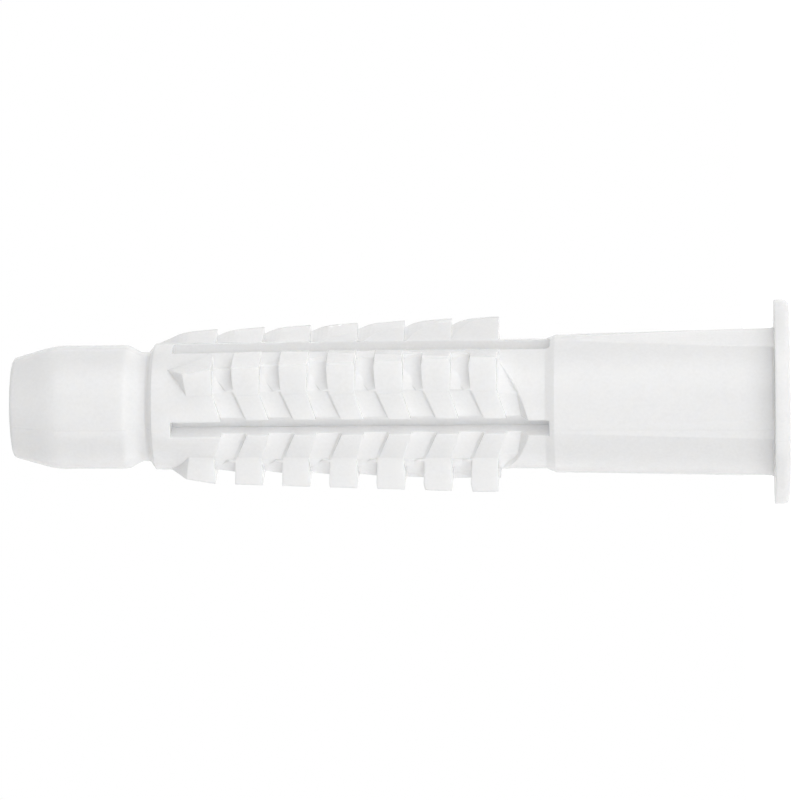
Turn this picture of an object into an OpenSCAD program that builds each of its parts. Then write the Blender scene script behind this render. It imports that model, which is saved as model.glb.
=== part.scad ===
// Universal wall plug, moulded in one piece.
// It stands on the flat outer face of its flange, with +Z along the axis to the nose.
// Slots 1 and 3 lie on -Y and +Y, slots 2 and 4 on +X and -X.
// The toothed shells beside slot 1 are the front pair, those beside slot 3 the rear pair.

/* [Flange] */
// Diameter of the flange
flange_d = 15.8; // [14:0.1:20]
// Thickness of the flange
flange_t = 1.2; // [1:0.1:2]
// Rounding of the flange's outer rim
flange_round = 0.55; // [0.2:0.05:0.8]

/* [Sleeve] */
// Length of the sleeve, from the flange to the start of its front step
sleeve_len = 16.8; // [12:0.1:25]
// Diameter of the sleeve at the flange
sleeve_rear_d = 11.4; // [11.3:0.05:12]
// Diameter of the sleeve at its front step
sleeve_front_d = 10.64; // [10.4:0.02:10.9]
// Length of the bevelled step from the sleeve down to the core
step_len = 0.7; // [0.3:0.1:1.5]
// Distance between the two flats in line with slots 2 and 4
side_flats_w = 10.7; // [10.2:0.05:11.2]
// Width of the narrow strip in line with slots 1 and 3, at the sleeve's front
strip_front_w = 0.58; // [0.3:0.02:1]
// Width of the same strip at the flange
strip_rear_w = 1.46; // [0.8:0.02:2]

/* [Core] */
// Diameter of the core next to the sleeve
core_rear_d = 10.04; // [9.9:0.02:10.2]
// Diameter of the core next to the neck
core_front_d = 9.78; // [9.6:0.02:9.9]
// Length of bare core between the sleeve's step and the last tooth
core_bare_len = 3.7; // [3:0.1:6]
// Length of bare core between the first tooth and the neck
collar_len = 2.75; // [2.2:0.05:5]

/* [Neck and nose] */
// Diameter at the bottom of the neck groove
neck_d = 8.42; // [8:0.02:9]
// Width of the neck groove
neck_w = 2.3; // [1.6:0.1:3]
// Diameter of the nose
nose_d = 9.58; // [9.4:0.02:9.8]
// Length of the nose, from the neck groove to the tip
nose_len = 8.7; // [6:0.1:12]
// Length of the nose's cone
nose_cone_len = 3.3; // [2:0.1:4]
// Slope of the nose's cone, in degrees
nose_cone_slope = 16; // [8:1:25]
// Rounding of the edge at the tip
tip_round = 0.3; // [0.1:0.05:0.6]

/* [Slots] */
// Width of slots 1 and 3
slot_w = 1.24; // [0.8:0.02:1.6]
// Width of slots 2 and 4, whose walls run on into the ears
cross_slot_w = 1.88; // [1.7:0.02:2.2]
// Distance from the axis to the floor of a slot, where a web joins the shells
slot_floor = 2.75; // [2.7:0.05:3.4]
// Distance from the end of a slot to the neck
slot_front_gap = 1.5; // [1:0.1:2]
// How far a slot runs into the sleeve's step
slot_into_step = 0.3; // [0:0.05:0.3]

/* [Teeth] */
// Number of teeth on each shell
tooth_n = 7; // [4:1:8]
// Distance from one tooth to the next
tooth_pitch = 3.648; // [3.4:0.05:4.2]
// Length of a tooth along the plug
tooth_len = 1.95; // [1.7:0.05:2.2]
// Slope of a tooth's two end faces, in degrees
tooth_draft = 6; // [0:0.5:8]
// Distance between the front and the rear faces of the ears
ear_faces_w = 8.4; // [7.6:0.1:9]
// Half the ears' spread at the first tooth's back face
ear_front_reach = 4.76; // [4.5:0.02:5]
// Slope at which the ears spread towards the flange, in degrees
ear_taper = 2.32; // [1:0.05:3]
// Lean of the ears' sides, from slots 2 and 4 outwards, in degrees
ear_side_lean = 11.4; // [8:0.2:16]
// Slope of the first tooth's front face on the front pair, in degrees
lead_slope = 50; // [30:1:65]
// How far that face is turned from square across the plug, in degrees
lead_turn = 8; // [0:1:12]
// Slope of the first tooth's side towards the nose, in degrees
first_side_slope = 10.4; // [8:0.2:14]

/* [Front pair grooves] */
// Height of the teeth's flat tops over the axis, where they meet slot 1
flat_at_slot = 4.55; // [4.4:0.05:4.7]
// Height of the groove floors over the axis
groove_floor = 4.06; // [3.8:0.02:4.2]
// Distance from slot 1's middle plane to the bend of the grooves
bend_out = 2.83; // [2.4:0.01:3.1]
// How far a tooth's front edge sweeps back to slot 1
sweep_front = 1.22; // [0.4:0.01:1.4]
// How far a tooth's back edge sweeps back to slot 1
sweep_back = 0.9; // [0.3:0.01:1.2]
// Slope of the ramps that climb to the next tooth, in degrees
ramp_slope = 10.6; // [5:0.1:16]
// Lean of the wall in front of each groove, in degrees
groove_wall_lean = 50; // [30:1:60]
// Direction a ramp looks in, in degrees from the plane of slots 2 and 4
ramp_face = 47.6; // [44:0.1:52]
// Distance of a ramp's plane from the axis, where the ramp starts
ramp_low = 4.82; // [4.7:0.01:4.9]
// Distance from slot 1's middle plane to the start of a ramp
ramp_out = 3.96; // [3.7:0.01:4.1]
// Distance along the plug from the start of a ramp to the bend of the grooves
ramp_run = 1.15; // [0.9:0.05:1.4]

/* [Last groove] */
// Depth of the last groove in the bare core, away from the slot
last_groove_depth = 0.32; // [0.1:0.02:0.4]
// Length of the last groove along the plug, at slot 1
last_groove_len = 2.53; // [2.2:0.01:2.9]
// Lean of the last groove's end wall, in degrees
last_wall_lean = 31; // [20:1:45]
// How far that wall is turned from square across the plug, in degrees
last_wall_turn = 9; // [0:1:15]

/* [Rails] */
// Half the rails' spread at the second gap
rail_reach = 4.42; // [4.2:0.02:4.6]
// Slope at which the rails spread towards the flange, in degrees
rail_taper = 3.57; // [2:0.05:4]
// Distance from the plane of slots 2 and 4 to a rail's outer corner
rail_corner = 2.28; // [1.8:0.02:2.6]

/* [Rear pair notches] */
// Length of the straight crest of a tooth
crest_len = 1.95; // [1.5:0.05:2.3]
// Slope of the crest towards the nose, in degrees
crest_slope = 5; // [3:0.5:8]
// Slope at the foot of a tooth's rounded ramp, in degrees
notch_slope = 30; // [24:1:36]

/* [Bore] */
// Diameter of the screw bore in the sleeve
bore_d = 6.4; // [5:0.1:7.4]
// Bevel at the mouth of the bore
mouth_bevel = 0.5; // [0.1:0.1:0.8]
// Diameter of the guide between the shells
guide_d = 3.6; // [3.2:0.1:4.4]
// Diameter of the hole through the nose
nose_hole_d = 3; // [2:0.1:3.1]
// Length of the cone from the bore down to the guide
funnel_len = 3.6; // [2:0.1:6]

/* [Hidden] */
$fn = 96;
past = 1;
arc_steps = 5;

flange_r = flange_d / 2;
sleeve_rear_r = sleeve_rear_d / 2;
sleeve_front_r = sleeve_front_d / 2;
core_rear_r = core_rear_d / 2;
core_front_r = core_front_d / 2;
neck_r = neck_d / 2;
nose_r = nose_d / 2;
guide_r = guide_d / 2;
ear_face = ear_faces_w / 2;
rail_edge = cross_slot_w / 2;

// Heights along the axis, from the flange's outer face
z_step = flange_t + sleeve_len;
z_core = z_step + step_len;
z_last = z_core + core_bare_len;
z_first = z_last + (tooth_n - 1) * tooth_pitch;
z_teeth_end = z_first + tooth_len;
z_neck = z_teeth_end + collar_len;
z_nose = z_neck + neck_w;
z_tip = z_nose + nose_len;
z_slot = z_core - slot_into_step;
z_slot_end = z_neck - slot_front_gap;

gap_len = tooth_pitch - tooth_len;
edge_round = 0.1;
root_fillet = 0.2;
neck_wall_len = 0.5;
neck_floor_len = 0.3;
cone_blend = 0.8;
draft_shift = tan(tooth_draft);

// Height of the back face of tooth i, counted from the nose
function z_back(i) = z_first - (i - 1) * tooth_pitch;

// Reach of the ears and of the rails at a height
function ear_reach(z) = ear_front_reach + (z_first - z) * tan(ear_taper);
function rail_at(z) = rail_reach + (z_back(2) - gap_len / 2 - z) * tan(rail_taper);

// Points of an arc about (x, y), from one angle to another
function arc(x, y, r, from, to, steps = arc_steps) =
    [for (i = [0:steps]) let (a = from + (to - from) * i / steps) [x + r * cos(a), y + r * sin(a)]];

// Soft S-shaped run from one radius and height to another
function soft_run(r0, z0, r1, z1, steps = 8) =
    [for (i = [0:steps]) let (t = i / steps) [r0 + (r1 - r0) * (1 - cos(180 * t)) / 2, z0 + (z1 - z0) * t]];

// Round body: flange, sleeve, core, neck and nose as one turned profile
module round_body() {
    z_cone = z_tip - nose_cone_len;
    blend_r = cone_blend / tan(nose_cone_slope / 2);
    tip_r = nose_r - nose_cone_len * tan(nose_cone_slope);
    tip_cut = tip_round * tan((90 - nose_cone_slope) / 2);
    rotate_extrude()
        polygon(concat(
            [[0, 0]],
            arc(flange_r - flange_round, flange_round, flange_round, -90, 0),
            arc(flange_r - edge_round, flange_t - edge_round, edge_round, 0, 90, 2),
            arc(sleeve_rear_r + root_fillet, flange_t + root_fillet, root_fillet, 270, 180, 3),
            [[sleeve_front_r, z_step], [core_rear_r, z_core]],
            arc(core_front_r - edge_round, z_neck - edge_round, edge_round, 0, 60, 2),
            soft_run(core_front_r - 2 * edge_round, z_neck, neck_r, z_neck + neck_wall_len, 5),
            soft_run(neck_r, z_neck + neck_wall_len + neck_floor_len, nose_r, z_nose),
            arc(nose_r - blend_r, z_cone - cone_blend, blend_r, 0, nose_cone_slope),
            arc(tip_r - tip_cut, z_tip - tip_round, tip_round, nose_cone_slope, 90),
            [[0, z_tip]]));
}

// Profile in X and Z, drawn out along -Y from one depth to another
module drawn_y(from, to) {
    translate([0, -from, 0])
        rotate([90, 0, 0])
            linear_extrude(to - from) children();
}

// Profile in -Y and Z, drawn out along X from one distance to another
module drawn_x(from, to) {
    translate([from, 0, 0])
        rotate([90, 0, -90])
            mirror([0, 0, 1])
                linear_extrude(to - from) children();
}

// Everything above the ground plane
module half_space() {
    translate([-z_tip, -z_tip, 0])
        cube(2 * z_tip);
}

// Section of an ear: its side leans out from the core's edge at the slot
module ear_section() {
    edge_out = sqrt(pow(core_rear_r, 2) - pow(rail_edge, 2));
    side_out = edge_out + (ear_face - rail_edge) * tan(ear_side_lean);
    linear_extrude(z_neck)
        polygon([[guide_r, -rail_edge], [guide_r, -ear_face], [side_out, -ear_face], [edge_out, -rail_edge]]);
}

// Side view of one block tooth, reaching from inside the core to the ear's taper line
module tooth_side(z, len) {
    reach = ear_reach(z) + past;
    lean = (reach - core_front_r) * draft_shift;
    polygon([[guide_r, z], [core_front_r, z - lean], [reach, z + lean],
             [reach, z + len - lean], [core_front_r, z + len + lean], [guide_r, z + len]]);
}

// Outline that holds every front ear: its taper line, and the first tooth's sloping side
module front_ear_limit() {
    lead_end = z_teeth_end + (ear_face - rail_edge) / tan(lead_slope);
    side_end = ear_front_reach - (lead_end - z_first) * tan(first_side_slope);
    drawn_y(rail_edge, ear_face)
        polygon([[guide_r, z_core], [ear_reach(z_core), z_core], [ear_front_reach, z_first],
                 [side_end, lead_end], [guide_r, lead_end]]);
}

// Everything under the sloping front face of the first tooth
module below_lead() {
    translate([bend_out, -ear_face, z_teeth_end])
        rotate([0, -lead_turn, 0])
            rotate([90 - lead_slope, 0, 0])
                mirror([0, 0, 1]) half_space();
}

// Front ear: block teeth, the ramps between them and the rail beside the slot
module front_ear() {
    intersection() {
        ear_section();
        front_ear_limit();
        below_lead();
        union() {
            drawn_y(0, ear_face) {
                for (i = [2:tooth_n]) tooth_side(z_back(i), tooth_len);
                tooth_side(z_first, tooth_len + ear_face);
            }
            rail();
            for (i = [1:tooth_n - 1]) gap_ramp(z_back(i));
        }
    }
}

// Rail that joins the teeth beside slots 2 and 4
module rail() {
    drawn_y(rail_edge, rail_corner)
        polygon([[guide_r, z_last], [rail_at(z_last), z_last], [rail_at(z_first), z_first], [guide_r, z_first]]);
}

// Ramp in the gap under the back face at z: it starts on a slanting line and climbs to the next tooth
module gap_ramp(z) {
    intersection() {
        drawn_y(rail_corner, ear_face)
            polygon([[rail_at(z), z], [ramp_out, z], [bend_out, z - ramp_run], [bend_out, z - gap_len],
                     [rail_at(z - gap_len), z - gap_len]]);
        below_ramp(z);
    }
}

// Everything under the slanting plane of a ramp
module below_ramp(z) {
    rotate(-ramp_face)
        translate([ramp_low, 0, z])
            rotate([0, -90 - ramp_slope, 0]) half_space();
}

// Cut that levels the teeth beside slot 1, from the first tooth's back face on
module flat_tops() {
    translate([0, 0, z_last - gap_len / 2])
        linear_extrude(z_first - z_last)
            polygon([[-past, -flat_at_slot], [slot_w / 2, -flat_at_slot],
                     [bend_out, -ear_face], [bend_out, -flange_r], [-past, -flange_r]]);
}

// Swept groove beside slot 1, behind the tooth whose back face is at z
module swept_groove(z) {
    front_angle = atan(sweep_front / bend_out);
    intersection() {
        drawn_y(groove_floor, flange_r)
            polygon([[bend_out, z], [0, z - sweep_back], [0, z - gap_len - sweep_front], [bend_out, z - gap_len]]);
        translate([bend_out, -ear_face, z - gap_len])
            rotate([0, -front_angle, 0])
                rotate([groove_wall_lean, 0, 0]) half_space();
    }
}

// Last groove: it runs on over the bare core and ends at a leaning wall
module last_groove() {
    intersection() {
        translate([0, -core_rear_r, z_last - last_groove_len])
            rotate([0, -last_wall_turn, 0])
                rotate([last_wall_lean, 0, 0]) half_space();
        drawn_y(rail_corner, flange_r)
            polygon([[flange_r, z_last], [bend_out, z_last], [0, z_last - sweep_back],
                     [0, z_step], [flange_r, z_step]]);
        union() {
            translate([-past, -flange_r, z_step])
                cube([flange_r, flange_r - groove_floor, z_last - z_step]);
            rotate(-ramp_face)
                translate([core_rear_r - last_groove_depth, -flange_r, z_step])
                    cube([flange_r, flange_d, z_last - z_step]);
        }
    }
}

// Side view of the rear ears: each tooth has a sloping crest and a rounded ramp down to the next back face
module rear_ear_side() {
    turn_r = (tooth_pitch - crest_len) / (sin(notch_slope) - sin(crest_slope));
    crest_drop = crest_len * tan(crest_slope);
    foot_len = turn_r * sin(notch_slope);
    polygon(concat(
        [[guide_r, z_last]],
        [for (i = [tooth_n:-1:1]) let (reach = ear_reach(z_back(i))) each concat(
            [[reach, z_back(i)]],
            arc(reach - crest_drop - turn_r * cos(crest_slope), z_back(i) + crest_len - turn_r * sin(crest_slope),
                turn_r, crest_slope, notch_slope))],
        [[guide_r, z_teeth_end + foot_len + ear_front_reach]]));
}

// Rear ear
module rear_ear() {
    mirror([0, 1, 0])
        intersection() {
            ear_section();
            drawn_y(rail_edge, ear_face) rear_ear_side();
        }
}

// Both ears of a pair, mirrored about the plane of slots 1 and 3
module both_sides() {
    children();
    mirror([1, 0, 0]) children();
}

// Slots between the shells, down to the web round the guide
module slots() {
    slot_len = z_slot_end - z_slot;
    for (turn = [0, 180])
        rotate(turn) {
            translate([-slot_w / 2, slot_floor, z_slot])
                cube([slot_w, flange_r, slot_len]);
            translate([slot_floor, -cross_slot_w / 2, z_slot])
                cube([flange_r, cross_slot_w, slot_len]);
        }
}

// Round hole down the axis: bevelled mouth, screw bore, funnel and guide
module screw_bore() {
    bore_r = bore_d / 2;
    hole_r = nose_hole_d / 2;
    rotate_extrude()
        polygon([[0, -past], [bore_r + mouth_bevel + past, -past], [bore_r, mouth_bevel],
                 [bore_r, z_step - funnel_len / 2], [guide_r, z_step + funnel_len / 2],
                 [guide_r, z_slot_end - (guide_r - hole_r)], [hole_r, z_slot_end],
                 [hole_r, z_tip + past], [0, z_tip + past]]);
}

// Flats in line with slots 2 and 4 that trim the sleeve's sides
module side_flats() {
    both_sides()
        translate([side_flats_w / 2, -flange_r, flange_t])
            cube([flange_r, flange_d, z_core - flange_t]);
}

// Narrow strips in line with slots 1 and 3 that follow the sleeve's taper
module sleeve_strips() {
    front_y = sqrt(pow(sleeve_front_r, 2) - pow(strip_front_w / 2, 2));
    rear_y = sqrt(pow(sleeve_rear_r, 2) - pow(strip_rear_w / 2, 2));
    for (turn = [0, 180])
        rotate(turn)
            drawn_x(-sleeve_rear_r, sleeve_rear_r)
                polygon([[rear_y, flange_t], [front_y, z_step], [flange_r, z_step], [flange_r, flange_t]]);
}

module wall_plug() {
    color("#f3f4f2")
        difference() {
            union() {
                round_body();
                both_sides() {
                    front_ear();
                    rear_ear();
                }
            }
            both_sides() {
                flat_tops();
                for (i = [1:tooth_n - 1]) swept_groove(z_back(i));
                last_groove();
            }
            side_flats();
            sleeve_strips();
            slots();
            screw_bore();
        }
}

wall_plug();
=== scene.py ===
# %% [markdown]
# A universal wall plug is one small moulding of pale nylon, 60 mm long. A flange stops it at the
# wall, a sleeve carries the screw, and four slotted shells with ears and teeth spread in the hole.
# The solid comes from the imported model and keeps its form. This lesson gives it what moulding
# gives the real one: softened edges, a satin skin, faint lines where the mould parts met, and the
# light that thin nylon lets through. Then it stands the plug on a light table and takes its
# picture from the side.

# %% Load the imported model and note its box
import math

import bmesh
import bpy
from mathutils import Matrix, Vector


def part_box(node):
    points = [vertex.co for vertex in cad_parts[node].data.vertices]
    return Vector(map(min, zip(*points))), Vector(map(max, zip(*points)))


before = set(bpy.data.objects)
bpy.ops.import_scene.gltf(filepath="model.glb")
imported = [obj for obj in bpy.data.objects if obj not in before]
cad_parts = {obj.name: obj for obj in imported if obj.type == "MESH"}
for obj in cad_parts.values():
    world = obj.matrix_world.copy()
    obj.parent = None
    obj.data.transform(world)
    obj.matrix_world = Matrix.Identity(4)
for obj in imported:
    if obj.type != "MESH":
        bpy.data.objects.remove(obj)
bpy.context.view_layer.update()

MM = 0.001
scene = bpy.context.scene

# %% [markdown]
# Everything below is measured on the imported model, so that the finish follows the plug if its
# sizes change. The plug stands on its flange at the height of zero and its nose points up.

# %% Measure the plug
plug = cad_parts["wall_plug"]
plug_low, plug_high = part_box("wall_plug")
PLUG_LEN = plug_high.z - plug_low.z
FLANGE_R = (plug_high.x - plug_low.x) / 2
print("plug length mm", round(PLUG_LEN / MM, 2), "flange radius mm", round(FLANGE_R / MM, 2))

# %% [markdown]
# The plug has one material, unfilled nylon. It swallows hardly any light: what enters scatters for
# half a millimetre or so and comes out again, which is why its slots and grooves look pale instead
# of black. Subsurface scattering in the Principled shader does just that, with a colour close to
# white. Its radius differs a little by colour, because nylon lets a little more of the warm light
# through. The index of refraction is nylon's own.

# %% Start the nylon
SKIN = (0.995, 0.995, 0.996, 1)
SCATTER = (1.0, 0.97, 0.92)
SCATTER_DEPTH = 0.55 * MM
NYLON_IOR = 1.53

nylon = bpy.data.materials.new("nylon")
nylon.use_nodes = True
tree = nylon.node_tree
skin = tree.nodes["Principled BSDF"]
skin.inputs["Subsurface Weight"].default_value = 1.0
skin.inputs["Subsurface Radius"].default_value = SCATTER
skin.inputs["Subsurface Scale"].default_value = SCATTER_DEPTH
skin.inputs["IOR"].default_value = NYLON_IOR
plug.data.materials.clear()
plug.data.materials.append(nylon)
print("light scatters for mm", round(SCATTER_DEPTH / MM, 2))


# %% [markdown]
# Node trees are easier to read when one short helper adds a node, sets its values and wires its
# inputs. Every material below is made with it.

# %% A helper that adds a node
def add_node(tree, kind, inputs=None, **settings):
    node = tree.nodes.new(kind)
    for name, value in settings.items():
        setattr(node, name, value)
    for name, value in (inputs or {}).items():
        if isinstance(value, bpy.types.NodeSocket):
            tree.links.new(value, node.inputs[name])
        else:
            node.inputs[name].default_value = value
    return node


# %% Millimetres on the plug
place = add_node(tree, "ShaderNodeTexCoord")
in_mm = add_node(tree, "ShaderNodeVectorMath", {0: place.outputs["Object"], 3: 1 / MM}, operation="SCALE")
MM_PLACE = in_mm.outputs["Vector"]
split = add_node(tree, "ShaderNodeSeparateXYZ", {0: MM_PLACE})

# %% [markdown]
# The mould was spark-eroded and lightly polished, which leaves a fine grain. The nylon also
# clouds a little as it sets. Both could be painted on an image, but noise on the plug's own
# coordinates has no seams and stays the same size everywhere: clouds some millimetres wide and a
# mottling of a quarter of a millimetre for the colour, and grain a tenth of a millimetre wide for
# the bump.

# %% Clouds and mottling
CLOUD_SIZE = 3.2
MOTTLE_SIZE = 0.24
MOTTLE_SHARE = 0.55
NOISE_LOW = 0.3
NOISE_HIGH = 0.7
TONE_LOW = 0.95
TONE_HIGH = 1.02

clouds = add_node(tree, "ShaderNodeTexNoise", {"Vector": MM_PLACE, "Scale": 1 / CLOUD_SIZE, "Detail": 2.0})
mottle = add_node(tree, "ShaderNodeTexNoise", {"Vector": MM_PLACE, "Scale": 1 / MOTTLE_SIZE, "Detail": 3.0})
both = add_node(tree, "ShaderNodeMix", {"Factor": MOTTLE_SHARE, 2: clouds.outputs["Fac"],
                                        3: mottle.outputs["Fac"]}, data_type="FLOAT")
shade = add_node(tree, "ShaderNodeMapRange", {"Value": both.outputs[0], "From Min": NOISE_LOW,
                                              "From Max": NOISE_HIGH, "To Min": TONE_LOW,
                                              "To Max": TONE_HIGH})
print("clouds mm", CLOUD_SIZE, "mottling mm", MOTTLE_SIZE)

# %% Grain of the mould's skin
GRAIN_SIZE = 0.13
GRAIN_DEPTH = 0.0035 * MM
grain = add_node(tree, "ShaderNodeTexNoise", {"Vector": MM_PLACE, "Scale": 1 / GRAIN_SIZE, "Detail": 2.0})
print("grain mm", GRAIN_SIZE, "deep mm", round(GRAIN_DEPTH / MM, 4))

# %% [markdown]
# The mould opens to both sides in the plane through slots 1 and 3, and its halves leave a faint
# witness line on the nose, the collar, the sleeve's strips and the flange. The line is a mask: one
# where the plane is nearer than some hundredths of a millimetre, nought elsewhere. It is kept
# off the walls of the bore by the distance from the axis.

# %% Witness line of the mould halves
LINE_HALF = 0.07
LINE_CORE = 0.4 * LINE_HALF
LINE_FROM = 3.9

off_plane = add_node(tree, "ShaderNodeMath", {0: split.outputs["X"]}, operation="ABSOLUTE")
near_plane = add_node(tree, "ShaderNodeMapRange", {"Value": off_plane.outputs[0], "From Min": LINE_HALF,
                                                   "From Max": LINE_CORE},
                      interpolation_type="SMOOTHSTEP")
off_axis = add_node(tree, "ShaderNodeMath", {0: split.outputs["Y"]}, operation="ABSOLUTE")
outside = add_node(tree, "ShaderNodeMath", {0: off_axis.outputs[0], 1: LINE_FROM},
                   operation="GREATER_THAN")
line = add_node(tree, "ShaderNodeMath", {0: near_plane.outputs[0], 1: outside.outputs[0]},
                operation="MULTIPLY")
print("witness line mm wide", 2 * LINE_HALF)

# %% [markdown]
# The nylon ran into the mould through a pin gate in the flange's rim. It was torn off there, and
# the tear left a small matt disc, a little duller than the skin round it.

# %% Gate mark on the flange's rim
GATE_AZ = math.radians(14)
GATE_Z = 0.75
GATE_R = 0.5
GATE_CORE = 0.8 * GATE_R

gate_spot = Vector((math.sin(GATE_AZ), -math.cos(GATE_AZ), 0)) * (FLANGE_R / MM) + Vector((0, 0, GATE_Z))
to_gate = add_node(tree, "ShaderNodeVectorMath", {0: MM_PLACE, 1: gate_spot}, operation="DISTANCE")
gate = add_node(tree, "ShaderNodeMapRange", {"Value": to_gate.outputs["Value"], "From Min": GATE_R,
                                             "From Max": GATE_CORE},
                interpolation_type="SMOOTHSTEP")
print("gate mark mm", tuple(round(c, 2) for c in gate_spot))

# %% [markdown]
# Now the masks meet. The colour is the skin's, shaded by the clouds and made a touch darker at the
# gate. The roughness rises with the mottling and at the gate. The height adds the grain and the
# witness line, and one Bump node turns it into a normal. Every edge of a moulding is broken by a
# tenth of a millimetre, so a Bevel node bends the normal there before the bump is added. The mesh
# itself stays as it was packed.

# %% Colour of the skin
GATE_DULL = 0.94

dull = add_node(tree, "ShaderNodeMapRange", {"Value": gate.outputs[0], "To Min": 1.0,
                                             "To Max": GATE_DULL})
amount = add_node(tree, "ShaderNodeMath", {0: shade.outputs[0], 1: dull.outputs[0]}, operation="MULTIPLY")
tint = add_node(tree, "ShaderNodeVectorMath", {0: SKIN[:3], 3: amount.outputs[0]}, operation="SCALE")
tree.links.new(tint.outputs["Vector"], skin.inputs["Base Color"])

# %% Roughness of the skin
ROUGH_LOW = 0.17
ROUGH_HIGH = 0.23
GATE_ROUGH = 0.15

satin = add_node(tree, "ShaderNodeMapRange", {"Value": mottle.outputs["Fac"], "From Min": NOISE_LOW,
                                              "From Max": NOISE_HIGH, "To Min": ROUGH_LOW,
                                              "To Max": ROUGH_HIGH})
matt = add_node(tree, "ShaderNodeMath", {0: gate.outputs[0], 1: GATE_ROUGH, 2: satin.outputs[0]},
                operation="MULTIPLY_ADD")
tree.links.new(matt.outputs[0], skin.inputs["Roughness"])
print("roughness", ROUGH_LOW, "to", ROUGH_HIGH)

# %% Height of the skin and softened edges
LINE_STEP = 7.0
BUMP_SHARE = 0.6
EDGE_ROUND = 0.11 * MM
EDGE_SAMPLES = 8

raised = add_node(tree, "ShaderNodeMath", {0: line.outputs[0], 1: LINE_STEP, 2: grain.outputs["Fac"]},
                  operation="MULTIPLY_ADD")
soft_edge = add_node(tree, "ShaderNodeBevel", {"Radius": EDGE_ROUND}, samples=EDGE_SAMPLES)
bump = add_node(tree, "ShaderNodeBump", {"Height": raised.outputs[0], "Distance": GRAIN_DEPTH,
                                         "Strength": BUMP_SHARE,
                                         "Normal": soft_edge.outputs["Normal"]})
tree.links.new(bump.outputs["Normal"], skin.inputs["Normal"])
print("edges look rounded by mm", round(EDGE_ROUND / MM, 2))

# %% [markdown]
# The plug stands on a light table, a white disc that glows. It lights the faces that look to the
# flange, as the pale surroundings did in the photograph, and the plug's foot still throws its soft
# shadow there. Next to the foot the glow is turned down as painted shade, a dim ring that stands in
# for the plug's own shade on the table. That tones down the flange's rim, which sees little but the
# ring of table round it. To the camera and in reflections the disc glows more, like the white behind
# it, so that it melts into the background. Light Path chooses this second strength. The disc casts
# no shadow itself, because the strip boxes further down reach below it and their light has to pass.

# %% Table disc
TABLE_R = 0.5
TABLE_SIDES = 96

table_mesh = bpy.data.meshes.new("table")
shape = bmesh.new()
bmesh.ops.create_circle(shape, cap_ends=True, segments=TABLE_SIDES, radius=TABLE_R)
shape.to_mesh(table_mesh)
shape.free()
table = bpy.data.objects.new("table", table_mesh)
scene.collection.objects.link(table)
table.visible_shadow = False

# %% Table material
TABLE_GLOW = 0.38
TABLE_SEEN = 0.92
TABLE_TONE = 0.5
# Painted shade: next to the foot the table's glow is dimmed to the lower level, out to this radius.
PAINTED_SHADE_R = 18 * MM
PAINTED_SHADE_GLOW = 0.2

table_mat = bpy.data.materials.new("light_table")
table_mat.use_nodes = True
top = table_mat.node_tree
top.nodes.clear()
ray = add_node(top, "ShaderNodeLightPath")
spot = add_node(top, "ShaderNodeTexCoord")
reach = add_node(top, "ShaderNodeVectorMath", {0: spot.outputs["Object"]}, operation="LENGTH")
# Painted shade ring: the glow rises from the dim level at the flange's rim to full strength further out.
shaded = add_node(top, "ShaderNodeMapRange", {"Value": reach.outputs["Value"], "From Min": FLANGE_R,
                                              "From Max": PAINTED_SHADE_R, "To Min": PAINTED_SHADE_GLOW,
                                              "To Max": TABLE_GLOW})
met = add_node(top, "ShaderNodeMath", {0: ray.outputs["Is Camera Ray"], 1: ray.outputs["Is Glossy Ray"]},
               operation="MAXIMUM")
strength = add_node(top, "ShaderNodeMapRange", {"Value": met.outputs[0],
                                                "To Min": shaded.outputs[0], "To Max": TABLE_SEEN})
glow = add_node(top, "ShaderNodeEmission", {"Color": (1, 1, 1, 1), "Strength": strength.outputs[0]})
matte = add_node(top, "ShaderNodeBsdfDiffuse", {"Color": (TABLE_TONE, TABLE_TONE, TABLE_TONE, 1)})
summed = add_node(top, "ShaderNodeAddShader", {0: glow.outputs[0], 1: matte.outputs[0]})
add_node(top, "ShaderNodeOutputMaterial", {"Surface": summed.outputs[0]})
table_mesh.materials.append(table_mat)
print("table mm across", round(2 * TABLE_R / MM))

# %% [markdown]
# A small pale thing is lit best by a large pale room. The world is that room: soft light from all
# sides, stronger from above. The table hides its lower half. The plug finds the room by rays that
# leave its skin and not by sampling the world as a lamp, since the disc casts no shadow and would
# let that light through. Camera, glossy and transmission rays see plain white instead.

# %% World
SKY_LEVEL = 0.22
SKY_TOP = 0.58

world = bpy.data.worlds.new("studio")
scene.world = world
world.cycles.sampling_method = "NONE"
world.use_nodes = True
room = world.node_tree
room.nodes.clear()
way = add_node(room, "ShaderNodeTexCoord")
rise = add_node(room, "ShaderNodeSeparateXYZ", {0: way.outputs["Generated"]})
level = add_node(room, "ShaderNodeMapRange", {"Value": rise.outputs["Z"], "To Min": SKY_LEVEL,
                                              "To Max": SKY_TOP})
fill = add_node(room, "ShaderNodeBackground", {"Color": (1, 1, 1, 1), "Strength": level.outputs[0]})
white = add_node(room, "ShaderNodeBackground", {"Color": (1, 1, 1, 1), "Strength": 1.0})
path = add_node(room, "ShaderNodeLightPath")
seen = add_node(room, "ShaderNodeMath", {0: path.outputs["Is Camera Ray"], 1: path.outputs["Is Glossy Ray"]},
                operation="MAXIMUM")
seen_too = add_node(room, "ShaderNodeMath", {0: seen.outputs[0], 1: path.outputs["Is Transmission Ray"]},
                    operation="MAXIMUM")
choice = add_node(room, "ShaderNodeMixShader", {0: seen_too.outputs[0], 1: fill.outputs[0],
                                                2: white.outputs[0]})
add_node(room, "ShaderNodeOutputWorld", {"Surface": choice.outputs[0]})
print("room light from", SKY_LEVEL, "to", SKY_TOP)


# %% [markdown]
# The skin is smooth enough to mirror the lamps as soft bands along the plug, and each edge of a
# band in the photograph tells where a lamp ended. So the lamps are tall strip boxes in a ring
# round the plug, as in a studio tent with lit and unlit walls. They hang low, because the faces
# that look to the nose are darker in the photograph, so the larger part of each box is below the
# table. With multiple importance sampling off, that part still gives its full light, and the
# strengths in the ring simply add up.

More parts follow.
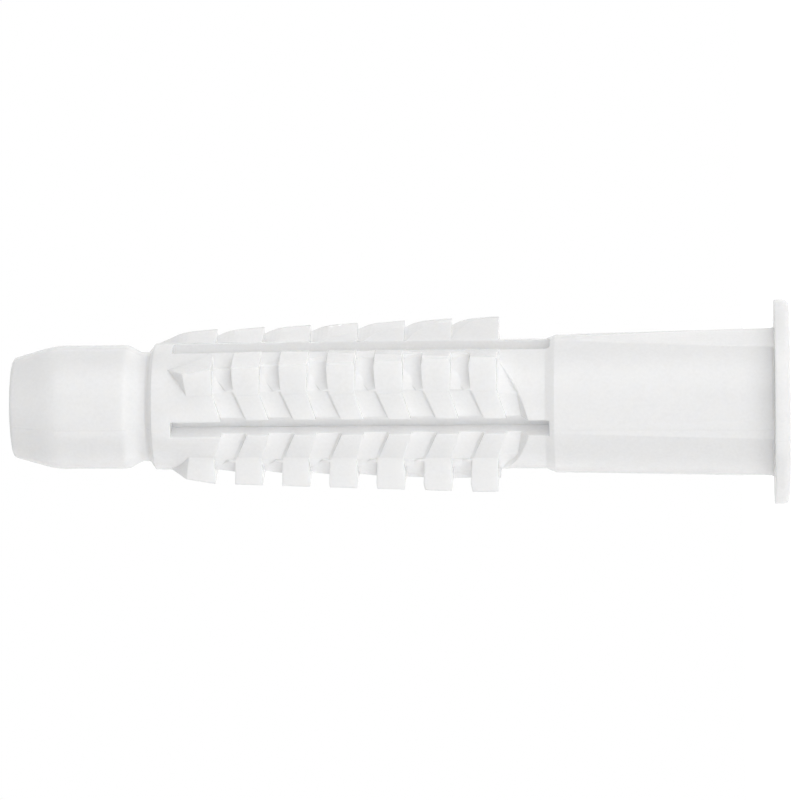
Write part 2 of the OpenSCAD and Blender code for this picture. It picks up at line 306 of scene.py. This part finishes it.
# %% A helper that hangs a strip box
BOX_DIST = 0.8
BOX_WIDE = 0.282
BOX_TALL = 0.9
BOX_DROP = math.radians(12)


def strip_box(degrees, power):
    data = bpy.data.lights.new("strip_box", "AREA")
    data.shape = "RECTANGLE"
    data.size = BOX_WIDE
    data.size_y = BOX_TALL
    data.energy = power
    data.cycles.use_multiple_importance_sampling = False
    lamp = bpy.data.objects.new("strip_box", data)
    a = math.radians(degrees)
    level = Vector((math.sin(a), -math.cos(a), 0)) * math.cos(BOX_DROP)
    lamp.location = (level - Vector((0, 0, math.sin(BOX_DROP)))) * BOX_DIST
    lamp.rotation_euler = lamp.location.to_track_quat("Z", "Y").to_euler()
    scene.collection.objects.link(lamp)


# %% Ring of strip boxes
RING_FROM = -108
RING_STEP = 20
RING = (0.5, 0.49, 0.26, 0, 0.98, 0.6, 0.47, 0.31, 0.67, 0.89, 0.65, 0.18, 0, 0.5)
for i, power in enumerate(RING):
    if power:
        strip_box(RING_FROM + i * RING_STEP, power)
print("strip boxes", sum(1 for power in RING if power))

# %% [markdown]
# The photograph shows the plug lying across the picture, nose to the left, seen square from the
# side and turned by 22 degrees about its axis. So the camera stands beside the standing plug and
# is rolled by a quarter turn: the plug's length runs across its frame. A small yaw and roll and a
# slight lift bring the outline onto the photograph's.

# %% Camera place and turn
CAM_AZ = math.radians(22)
CAM_DIST = 440 * MM
FOOT_Z = 6.6 * MM
CAM_YAW = math.radians(3.05)
CAM_ROLL = math.radians(-0.45)
CAM_LIFT = 0.36 * MM
LENS = 256.5
SENSOR = 36
CLIP_NEAR = 0.01

toward = Vector((math.sin(CAM_AZ), -math.cos(CAM_AZ), 0))
up = Vector((math.cos(CAM_AZ), math.sin(CAM_AZ), 0))
axis = Vector((0, 0, 1))
forward = -toward * math.cos(CAM_YAW) + axis * math.sin(CAM_YAW)
right = forward.cross(up)
turn = Matrix((right, up, -forward)).transposed() @ Matrix.Rotation(CAM_ROLL, 3, "Z")
stand = toward * CAM_DIST + axis * FOOT_Z + up * CAM_LIFT

# %% Camera
camera_data = bpy.data.cameras.new("camera")
camera_data.lens = LENS
camera_data.sensor_width = SENSOR
camera_data.clip_start = CLIP_NEAR
camera = bpy.data.objects.new("camera", camera_data)
camera.matrix_world = Matrix.Translation(stand) @ turn.to_4x4()
scene.collection.objects.link(camera)
scene.camera = camera
print("camera at mm", tuple(round(c / MM, 1) for c in stand))

# %% [markdown]
# In a slot between pale walls light goes to and fro many times before it finds its way out. With
# the few bounces that are usual the slots would turn far too dark, so the paths may be long here.

# %% View and bounces
BOUNCES = 24
scene.view_settings.view_transform = "Standard"
scene.cycles.max_bounces = BOUNCES
scene.cycles.diffuse_bounces = BOUNCES
print("bounces", BOUNCES)
